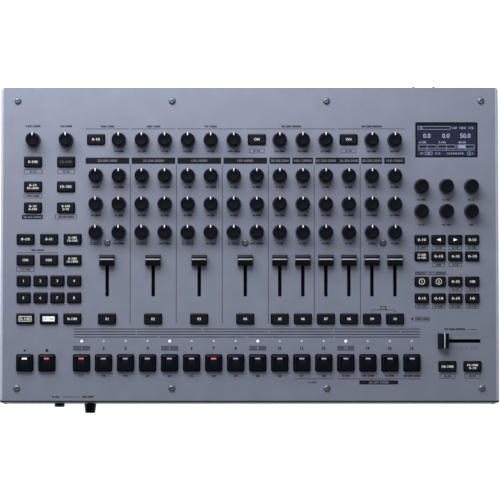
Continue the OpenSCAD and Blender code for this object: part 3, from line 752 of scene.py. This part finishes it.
# Gloss over all of it, and the screen's own light comes through the blue-black glass evenly.
black_print = surface("black_glass_print", "#0c1018", "#10151e", 1.0, (0.06, 0.12))
screen_blue = surface("lit_indigo_screen", "#171a28", "#1c1f31", 0.6, (0.10, 0.16), smear=30.0,
                      Emission_Color=linear("#1f2338"), Emission_Strength=0.6)
screen_light = surface("lit_screen_marks", "#4a4d62", "#54576c", 0.6, (0.10, 0.16), smear=30.0,
                       Emission_Color=linear("#c4c8e8"), Emission_Strength=0.66)
screen_azure = surface("lit_azure_bar", "#3a4656", "#424e5e", 0.6, (0.10, 0.16), smear=30.0,
                       Emission_Color=linear("#93b0ce"), Emission_Strength=0.75)
dress(black_print, "display_module")

border = stack([
    (WINDOW_W - 0.2, WINDOW_D - 0.2, 0.9, -1.0), (WINDOW_W - 0.2, WINDOW_D - 0.2, 0.9, -0.15),
    (WINDOW_W - 0.4, WINDOW_D - 0.4, 0.8, 0.0), (FIELD_W, FIELD_D, 0.5, 0.0, 0, FIELD_V),
    (FIELD_W, FIELD_D, 0.5, FIELD_LOW, 0, FIELD_V),
])
field = stack([(FIELD_W, FIELD_D, 0.5, FIELD_LOW, 0, FIELD_V), (FIELD_W, FIELD_D, 0.5, -0.15, 0, FIELD_V)])
border_placed = copies(border, [WINDOW_AT])
make_piece("window_border", border_placed, black_print, "case", ["display_window"])
make_piece("screen_field", copies(field, [WINDOW_AT]), screen_blue, "case")


# ---- Printing on the panel ----
# Screen-printed ink a few hundredths of a millimetre thick: dark numbers, rules and frames, black and
# grey plates, and pale numbers on the plates. Plain number ranges stand where a panel is lettered.

# The inks dry to an even, slightly glossy film that hides the lacquer's flakes.
dark_ink = surface("dark_screen_print", "#0d1017", "#13161e", 0.8, (0.40, 0.50), Specular_IOR_Level=0.2)
black_ink = surface("black_screen_print", "#0e1217", "#14181e", 0.8, (0.36, 0.44), Specular_IOR_Level=0.25)
grey_ink = surface("grey_screen_print", "#4c505f", "#555968", 0.8, (0.40, 0.50), Specular_IOR_Level=0.3)
pale_ink = surface("pale_screen_print", "#999da9", "#a6aab5", 0.8, (0.40, 0.50), Specular_IOR_Level=0.3)

INK_T = 0.04
HAIRLINE = 0.48
LABEL_H = 2.05
TITLE_H = 2.3
LABEL_DOWN = 11.0
BOLD = 0.05
FIGURE_PITCH = 0.74
RANGES = ("1", "10", "100", "0-10", "0-100", "10-100", "10-1000", "100-1000", "100-10000", "20-200-2000",
          "20-200-20000", "10-100-1000-10000")
cut_figures = {}


def bar(u, v, w, d, low=-INK_T, high=INK_T):
    """A flat printed rectangle w by d about (u, v)."""
    return stack([(w, d, 0, low, u, v), (w, d, 0, high, u, v)], 1)


def box_rule(u, v, w, d, line=HAIRLINE, low=-INK_T, high=INK_T):
    """The outline of a rectangle, as four thin bars."""
    level = [bar(u, v + s * (d - line) / 2, w, line, low, high) for s in (-1, 1)]
    upright = [bar(u + s * (w - line) / 2, v, line, d - 2 * line, low, high) for s in (-1, 1)]
    return joined(level + upright)


def arrow(corners, low=-INK_T, high=INK_T):
    """A flat triangle between its three corners (u, v), anticlockwise."""
    return skin(np.array([[(*corner, h) for corner in corners] for h in (low, high)]))


def figures(text, height, u, v, low=-INK_T, high=INK_T, width=None, weight=BOLD):
    """Plain figures as thin solids: a font's outlines made bolder by weight and centred on (u, v).

    The height scales both ways unless a width is given, which then sets the length alone.
    """
    if (text, weight) not in cut_figures:
        outline = bpy.data.curves.new("figures", "FONT")
        outline.body = text
        outline.resolution_u = 2
        outline.extrude = 0.5
        outline.offset = weight
        holder = bpy.data.objects.new("figures", outline)
        mesh = bpy.data.meshes.new_from_object(holder)
        shape = bmesh.new()
        shape.from_mesh(mesh)
        bmesh.ops.remove_doubles(shape, verts=shape.verts, dist=1e-4)
        bmesh.ops.triangulate(shape, faces=shape.faces)
        shape.to_mesh(mesh)
        shape.free()
        points = np.array([vertex.co for vertex in mesh.vertices])
        corners = np.array([loop.vertex_index for loop in mesh.loops])
        lowest, highest = points.min(0), points.max(0)
        points[:, :2] = (points - (lowest + highest) / 2)[:, :2] / (highest - lowest)[1]
        cut_figures[text, weight] = points, corners.reshape(-1, 3)
        bpy.data.objects.remove(holder)
        bpy.data.curves.remove(outline)
        bpy.data.meshes.remove(mesh)
    points, triangles = cut_figures[text, weight]
    across = points[:, 0] * (width / np.ptp(points[:, 0]) if width else height)
    placed = np.stack([u + across, v + height * points[:, 1], np.where(points[:, 2] > 0, high, low)], -1)
    return placed, [triangles]


def span(width, height, u, v, low=-INK_T, high=INK_T, weight=BOLD):
    """The plain range whose own length is nearest to the width, stretched to fit it."""
    text = min(RANGES, key=lambda text: abs(FIGURE_PITCH * len(text) * height - width))
    return figures(text, height, u, v, low, high, width, weight)


def plate_span(width, height, u, v):
    """A range in thin strokes, printed on top of a plate."""
    return span(width, height, u, v, 0, 2 * INK_T, 0.0)


def printed(name, parts, material, body="case", at=(0, 0)):
    """One piece of all parts, drawn in millimetres from a place on the panel."""
    return make_piece(name, copies(joined(parts), [at]), material, body)


dark, black, grey, pale = [], [], [], []

# Two dots and a range under each knob; four of the third row's ranges stand on grey plates.
DOT_R = 0.6
DOT_AT = ((-4.6, -7.7), (4.6, -7.7))
ENCODER_DOWN = 13.0
dot, dot_faces = skin(turned(np.array([[DOT_R, -INK_T], [DOT_R, INK_T]]), 8))
dots = joined([(dot + [u, v, 0], dot_faces) for u, v in DOT_AT])
make_piece("dial_dots", copies(dots, strip_at + top_at), dark_ink, "case")
PLATED = [strip_at[2 * STRIPS + i] for i in (0, 2, 4, 6)]
STRIP_WIDTHS = (
    7, 10, 7, 10, 7, 10, 7, 8, 8, 7, 7, 7, 8, 8,
    10, 8, 8, 8, 8, 7, 8, 8, 9, 9, 9, 10, 10, 10,
    9, 11, 9, 12, 9, 10, 9, 13, 7, 7, 7, 7, 7, 7,
)
TOP_WIDTHS = (9, 8.5, 6.5, 9, 7, 12, 10, 10, 10, 9, 8.6)
for width, (u, v) in zip((*STRIP_WIDTHS, *TOP_WIDTHS), strip_at + top_at[2:]):
    if (u, v) in PLATED:
        grey.append(bar(u, v - LABEL_DOWN, 11.3, 3.2))
        pale.append(plate_span(width, LABEL_H, u, v - LABEL_DOWN))
    else:
        dark.append(span(width, LABEL_H, u, v - LABEL_DOWN))
for width, (u, v) in zip((8, 8, 6, 6, 8, 4), encoder_at):
    dark.append(span(width, LABEL_H, u, v - ENCODER_DOWN))

# A title and a rule over each group of the top row, and a black plate over each strip, lines between.
# Rows give the titles' widths and the first and last column of what they head.
GROUP_TITLES = [(13, 0, 1), (13.5, 2, 3), (12, 4, 6), (19.5, 7, 10), (20, 11, 13)]
STRIP_TITLES = [
    ((19,), 0, 1), ((20.5,), 2, 3), ((15.3,), 4, 5), ((15,), 6, 7), ((17.5,), 8, 8), ((17,), 9, 9),
    ((19.5, 17.5), 10, 11), ((18.3,), 12, 12), ((15.6,), 13, 13),
]
ONE_COL_W = 20.2
TITLE_RULE_V = 112.8
PLATE_V = 81.6
PLATE_D = 6.1
PLATE_TEXT_V = 81.7
for width, (u, _) in zip((14.0, 11.3), top_at):
    dark.append(span(width, TITLE_H, u, 115.4))
for width, first, last in GROUP_TITLES:
    u = (col(first) + col(last)) / 2
    dark.append(bar(u - 0.3, TITLE_RULE_V, COL_PITCH * (last - first) + ONE_COL_W, HAIRLINE))
    dark.append(span(width, 2.2, u, 115.2))
for widths, first, last in STRIP_TITLES:
    mid = (col(first) + col(last)) / 2
    black.append(bar(mid, PLATE_V, COL_PITCH * (last - first) + ONE_COL_W, PLATE_D))
    middles = [mid] if len(widths) == 1 else [col(first), col(last)]
    pale += [plate_span(width, TITLE_H, u, PLATE_TEXT_V) for width, u in zip(widths, middles)]
for i in range(1, 13, 2):
    dark.append(bar(col(i) + COL_PITCH / 2, 0.5, HAIRLINE, 154.8))

# Frames round a range under the buttons with a second use: the range's width, u, v, and the frame's size.
framed = [
    (6.5, LEFT_COLS[0], 70.9, 18.0, 4.5), (6.5, LEFT_COLS[1], 70.9, 17.1, 4.5),
    (12.5, LEFT_COLS[0], 47.2, 18.0, 4.4), (15.4, LEFT_COLS[1], 26.8, 21.2, 4.6),
    (9.2, -218.1, -24.4, 17.4, 4.6), (6.5, col(7), 91.3, 15.1, 4.3), (6.5, col(11), 91.3, 15.1, 4.3),
    *((6.3, u, -128.1, 15.2, 4.5) for u, _ in performance_at), (12.5, 168.2, -72.7, 14.7, 4.2),
]
# Under the menu buttons, row by row; a width of 0 leaves the frame out.
menu_widths = {
    -3.5: (8.3, 6, 6.5, 8.5),
    -20.0: (0, 5, 5.5, 0),
    -44.2: (0, 0, 6.5, 6.5),
    -60.6: (9, 8, 8.6, 8.6),
}
for v, row in menu_widths.items():
    framed += [(width, MENU_U + CLOSE_PITCH * i, v, 12.7, 3.9) for i, width in enumerate(row) if width]
for width, u, v, w, d in framed:
    dark += [box_rule(u, v, w, d), span(width, LABEL_H, u, v)]
black.append(bar(-211.4, 26.6, 20.3, 4.3))
grey.append(bar(176.3, -28.2, 30.2, 3.6))
pale += [plate_span(17.5, LABEL_H, -211.4, 26.6), plate_span(10, 1.8, 176.3, -28.2)]
dark += [bar(-206.5, -8.2, 39.8, HAIRLINE), span(12.9, LABEL_H, -206.4, -5.6)]
dark.append(arrow([(157.0, -72.7), (159.2, -74.4), (159.2, -71.0)]))

# A bracket over the last two instrument buttons.
BRACKET_V = -63.8
for s, i in ((-1, 12), (1, 13)):
    dark.append(bar(col(i), BRACKET_V - 1.2, HAIRLINE, 2.4))
    dark.append(bar(col(12.5) + s * 7.9, BRACKET_V, 6.6, HAIRLINE))
dark += [span(8, 1.9, col(12.5), BRACKET_V + 0.4), span(6, 1.9, col(12.5), -60.6)]

# Four long rules across the panel, with short breaks in them.
RULE_ENDS = (-170.9, 166.1)
RULE_D = 0.72
BREAK = 0.75
rules = {
    -82.4: (-45.7, 82.0),
    -85.1: (-109.7, -45.3, 18.7, 81.8, 146.8),
    -87.6: (-109.7,),
    -90.2: (-88.1, -2.0, 82.5),
}
for v, breaks in rules.items():
    stops = [RULE_ENDS[0], *(b + s for b in breaks for s in (-BREAK, BREAK)), RULE_ENDS[1]]
    for left, right in zip(stops[::2], stops[1::2]):
        dark.append(bar((left + right) / 2, v, right - left, RULE_D))

# Numbers over and under the step keys; every fourth one stands on a grey plate.
NUMBER_V = -101.1
UNDER_V = -127.8
UNDER_H = 2.2
for i, (u, _) in enumerate(step_at):
    if i % 4:
        dark.append(figures(str(i + 1), 3.1, u, NUMBER_V))
    else:
        grey.append(bar(u, NUMBER_V, 16.5, 4.7))
        pale.append(figures(str(i + 1), 2.8, u, NUMBER_V, 0, 2 * INK_T, weight=0.0))
    if i < 12:
        dark.append(figures(str(i + 17), UNDER_H, u, UNDER_V, width=3.9))
for width, (u, _) in zip((7.6, 12.5, 8.7, 16.5), step_at[12:]):
    dark.append(span(width, UNDER_H, u, UNDER_V))

# A triangle over the start key and a square over the stop key, and two ranges under the steps' own.
dark.append(arrow([(START_U - 1.1, -104.6), (START_U + 1.5, -103.2), (START_U - 1.1, -101.8)]))
dark.append(bar(START_U + KEY_PITCH, -103.2, 2.6, 2.6))
LOW_RULE_V = -130.8
LOW_SPAN_V = -134.2
dark += [bar(61.4, LOW_RULE_V, 37.8, HAIRLINE), bar(126.0, LOW_RULE_V, 80.0, HAIRLINE)]
dark.append(span(7.8, LABEL_H, 61.4, LOW_SPAN_V))
black.append(bar(125.6, LOW_SPAN_V, 37.8, 3.9))
pale.append(plate_span(19, LABEL_H, 125.6, LOW_SPAN_V))

# The cross fader's scale, and the marks of the two controls on the front wall.
SCALE_U = 196.6
SCALE_PITCH = 2.4
FRONT_V = -148.2
dark += [span(20.7, LABEL_H, 199.9, -82.5), bar(216.4, -82.9, 8.3, HAIRLINE)]
for i in range(11):
    grey += [bar(SCALE_U + SCALE_PITCH * i, v, 0.35, 4.0) for v in (-86.9, -100.9)]
dark += [span(7, LABEL_H, -188.4, FRONT_V), bar(-172.9, -148.3, 16.4, HAIRLINE)]
dark.append(span(11.6, LABEL_H, -156.9, FRONT_V))

printed("dark_printing", dark, dark_ink)
printed("black_printing", black, black_ink)
printed("grey_printing", grey, grey_ink)
printed("pale_printing", pale, pale_ink)


# ---- Rear wall ----
# Nickel-plated nuts hold the six line sockets, and pale printed numbers and frames mark each socket.
# Places on it are (right as seen from behind, up, out) in millimetres from the sockets' height on the wall.

sockets_low, sockets_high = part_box("line_jacks")
SOCKET_REACH = 3.2
SOCKET_AT = [208 - 24 * i for i in range(6)]
DATA_AT = (40, 14)
SWITCH_AT = -211
REAR_H = 3.0
REAR_FRAME_D = 25.4
NUT_R = 6.7
BORE_R = 5.05


def on_rear(part):
    """The part's (right, up, out) as metres: x = -right, y = wall + out and z = socket height + up."""
    points, groups = part
    wall = np.array([0, sockets_high[1] - MM * SOCKET_REACH, (sockets_low[2] + sockets_high[2]) / 2])
    return wall + MM * (points * [-1, 1, 1])[:, [0, 2, 1]], groups


nut_outside = turned(np.array([[NUT_R, 0.0], [NUT_R, 1.5], [6.3, 1.8]]), 48, 0.35)
nut_bore = turned(np.array([[5.3, 1.8], [BORE_R, 1.6], [BORE_R, 0.0]]), 48)
nut, nut_faces = skin(np.concatenate([nut_outside, nut_bore]), True)
nuts = [(nut + [u, 0, 0], nut_faces) for u in SOCKET_AT]
make_piece("socket_nuts", on_rear(joined(nuts)), nickel, "case")
rear_marks = [figures(str(i + 1), REAR_H, u, 10.6) for i, u in enumerate(SOCKET_AT)]
rear_marks += [figures(str(i + 1), REAR_H, u, 11.6) for i, u in enumerate(DATA_AT)]
rear_marks += [box_rule(u - 12, 1.6, 45, REAR_FRAME_D) for u in SOCKET_AT[::2]]
rear_marks.append(box_rule(sum(DATA_AT) / 2, 1.6, 48, REAR_FRAME_D))
rear_marks.append(figures("ON/OFF", 2.4, SWITCH_AT, 8.4))
make_piece("rear_printing", on_rear(joined(rear_marks)), pale_ink, "case")


# ---- Marks on the screen ----
# What the lit screen shows: plain numbers in pale blue, three bars with a middle tick, one of them filled.
# Places are in millimetres from the window's middle.

SCREEN_LOW = -0.2
SCREEN_HIGH = -0.11
SCREEN_LINE = 0.28
HEAD_V = 11.7
VALUE_V = 4.0
RANGE_V = -2.4
GAUGE_V = -6.6
FOOT_V = -13.3
screen_texts = [
    ("12", -24.6, HEAD_V, 2.0), ("1-64   120.0   1/16", 15.8, HEAD_V, 2.1),
    ("0.0", -19.1, VALUE_V, 4.4), ("0.0", -0.5, VALUE_V, 4.4), ("50.0", 18.4, VALUE_V, 4.4),
    ("0-100", -23.3, RANGE_V, 2.1), ("0-100", -4.3, RANGE_V, 2.1), ("-50-50", 14.9, RANGE_V, 2.1),
    ("101", -24.3, FOOT_V, 1.9), ("102", -17.5, FOOT_V, 1.8), ("0-16", -8.4, FOOT_V, 1.9),
    ("1-2-3-4-5-6-7-8", 8.4, FOOT_V, 1.9), ("1", 22.1, FOOT_V, 1.8), ("2", 25.6, FOOT_V, 1.8),
]
screen_boxes = [
    (-12.1, HEAD_V, 31.8, 3.3), (-18.6, GAUGE_V, 17.2, 3.7), (0.0, GAUGE_V, 17.2, 3.7),
    (18.7, GAUGE_V, 17.2, 3.7), (-17.5, FOOT_V, 7.2, 3.1), (22.1, FOOT_V, 3.2, 3.1),
]
screen_marks = [
    figures(text, height, u, v, SCREEN_LOW, SCREEN_HIGH, weight=0.01) for text, u, v, height in screen_texts
]
screen_marks += [box_rule(*box, SCREEN_LINE, SCREEN_LOW, SCREEN_HIGH) for box in screen_boxes]
screen_marks += [bar(u, -7.1, SCREEN_LINE, 5.6, SCREEN_LOW, SCREEN_HIGH) for u in (-18.9, 0.0, 18.4)]
screen_marks.append(bar(-0.3, -10.1, 55.4, SCREEN_LINE, SCREEN_LOW, SCREEN_HIGH))
printed("screen_marks", screen_marks, screen_light, at=WINDOW_AT)
filled = bar(14.9, GAUGE_V, 6.9, 2.5, SCREEN_LOW, SCREEN_HIGH - 0.02)
printed("screen_filled_bar", [filled], screen_azure, at=WINDOW_AT)


# ---- Legends on the buttons ----
# Clear marks moulded through the black caps and lit from below: a warm white glow; the dim ones are unlit,
# with a faint painted glow.
# They are plain figures, ranges and shapes.

lit_legend = glowing("lit_legend", "#e6e7d0", 0.45)
painted_glow_legend = glowing("legend_painted_glow", "#6f7178", 0.05, "#62656c")
LEGEND_LOW = BUTTON_RISE - 0.3
LEGEND_HIGH = BUTTON_RISE + 0.03
LEGEND_PITCH = 2.9
RING_R = 2.9
RING_LINE = 0.4


def legend(lines, u, v):
    """One or two lines on a button's top, each a text or the width that a range fills."""
    height = 2.5 if len(lines) == 1 else 2.15
    first = v + LEGEND_PITCH / 2 * (len(lines) - 1)
    drawn = []
    for i, line in enumerate(lines):
        draw = figures if isinstance(line, str) else span
        drawn.append(draw(line, height, u, first - LEGEND_PITCH * i, LEGEND_LOW, LEGEND_HIGH, weight=0.0))
    return joined(drawn)


def triangle(u, v, s):
    """A solid triangle that points to the right for s = 1 and to the left for s = -1."""
    corners = [(u + s * 2.0, v), (u - s * 2.0, v + 1.5), (u - s * 2.0, v - 1.5)]
    return arrow(corners[::s], LEGEND_LOW, LEGEND_HIGH)


def ring_mark(u, v):
    """A thin ring round a figure: a small rectangle carried round the axis."""
    inner = RING_R - RING_LINE
    view = [[inner, LEGEND_HIGH], [inner, LEGEND_LOW], [RING_R, LEGEND_LOW], [RING_R, LEGEND_HIGH]]
    return skin(turned(np.array(view), 32) + [u, v, 0], True)


lit = {
    "mode_buttons": [(9.2,), (), (7.0, 11.0), (10.7,), (7.0, 8.0), (8.0, 6.0)],
    "pattern_buttons": [(8.3,), (6.6,), (8.0, 9.3), ("ON",), (5.6,), (8.0, 10.5), (9.2,), (), (9.3,)],
    "variation_buttons": [(str(i + 1),) for i in range(8)],
    "effect_buttons": [(7.3,), ("ON",), ("ON",)],
    "instrument_buttons": [(f"{i + 1:02d}",) for i in range(10)],
    "menu_buttons": [
        (7.8,), (), (), (7.3,), (7.8, 7.8), (8.0,), (7.3,), (8.0,),
        ("1",), ("2",), (7.4,), (4.9,), (7.0,), (8.3,), (7.6,), (4.2,),
    ],
    "performance_buttons": [(11.2,), (10.4, 7.0)],
}
for name, rows in lit.items():
    places = button_groups[name][0]
    parts = [legend(lines, *place) for lines, place in zip(rows, places) if lines]
    if name == "pattern_buttons":
        framed_at, plate_at = places[6:8]
        parts.append(box_rule(*framed_at, 12.2, 5.0, 0.45, LEGEND_LOW, LEGEND_HIGH))
        parts.append(bar(*plate_at, 11.6, 4.7, LEGEND_LOW, LEGEND_HIGH))
        on_plate = span(10, 2.4, *plate_at, BUTTON_RISE, BUTTON_RISE + 0.07, 0.0)
        printed("pattern_dark_legend", [on_plate], button_abs, name + "_body")
    if name == "menu_buttons":
        parts += [triangle(*places[1], -1), triangle(*places[2], 1)]
        parts += [ring_mark(*place) for place in places[8:10]]
    printed(name + "_legends", parts, lit_legend, name + "_body")
# The unlit legend's faint glow is painted light.
printed("mode_dim_legend", [legend((11.3,), *mode_at[1])], painted_glow_legend, "mode_buttons_body")


# ---- Floor, light and camera ----
# A pale floor lit to white, a large softbox behind on the left, and the photograph's view from above.

FLOOR_HALF = 4
floor_mesh = bpy.data.meshes.new("floor")
floor_corners = [(FLOOR_HALF * x, FLOOR_HALF * y, 0) for x, y in [(-1, -1), (1, -1), (1, 1), (-1, 1)]]
floor_mesh.from_pydata(floor_corners, [], [(0, 1, 2, 3)])
floor = bpy.data.objects.new("floor", floor_mesh)
scene.collection.objects.link(floor)
floor_paint = surface("pale_studio_floor", "#f2f3f5", "#fafafb", 60.0, (0.6, 0.7), smear=900.0,
                      Emission_Color=linear("#ffffff"), Emission_Strength=1.0)
floor_mesh.materials.append(floor_paint)


def aimed(eye, aim, up=(0, 1, 0)):
    """World matrix of a light or camera at eye that looks at aim, with up, or else the rear, at its top."""
    back = (Vector(eye) - Vector(aim)).normalized()
    across = Vector(up).cross(back).normalized()
    turn = Matrix((across, back.cross(across), back)).transposed()
    return Matrix.Translation(Vector(eye)) @ turn.to_4x4()


lamp = bpy.data.lights.new("rear_left_softbox", "AREA")
lamp.shape = "RECTANGLE"
lamp.size = 1.3
lamp.size_y = 0.8
lamp.energy = 20.5
lamp.color = linear("#f4f6ff")[:3]
softbox = bpy.data.objects.new("rear_left_softbox", lamp)
softbox.matrix_world = aimed(eye=(-0.35, 0.75, 0.75), aim=(0, 0, 0.05))
scene.collection.objects.link(softbox)

world = bpy.data.worlds.new("studio")
scene.world = world
world.use_nodes = True
daylight = world.node_tree.nodes["Background"].inputs
daylight["Color"].default_value = linear("#e6eaf4")
daylight["Strength"].default_value = 0.26
scene.view_settings.view_transform = "Standard"

EYE = (2.0, -88.0, 2050.0)
AIM = (0.6, -5.5, 0.0)
camera = bpy.data.objects.new("camera", bpy.data.cameras.new("camera"))
camera.data.lens = 151.7
camera.data.sensor_width = 36.0
camera.data.clip_end = 20.0
camera.matrix_world = aimed(on_panel(EYE), on_panel(AIM), uphill)
scene.collection.objects.link(camera)
scene.camera = camera
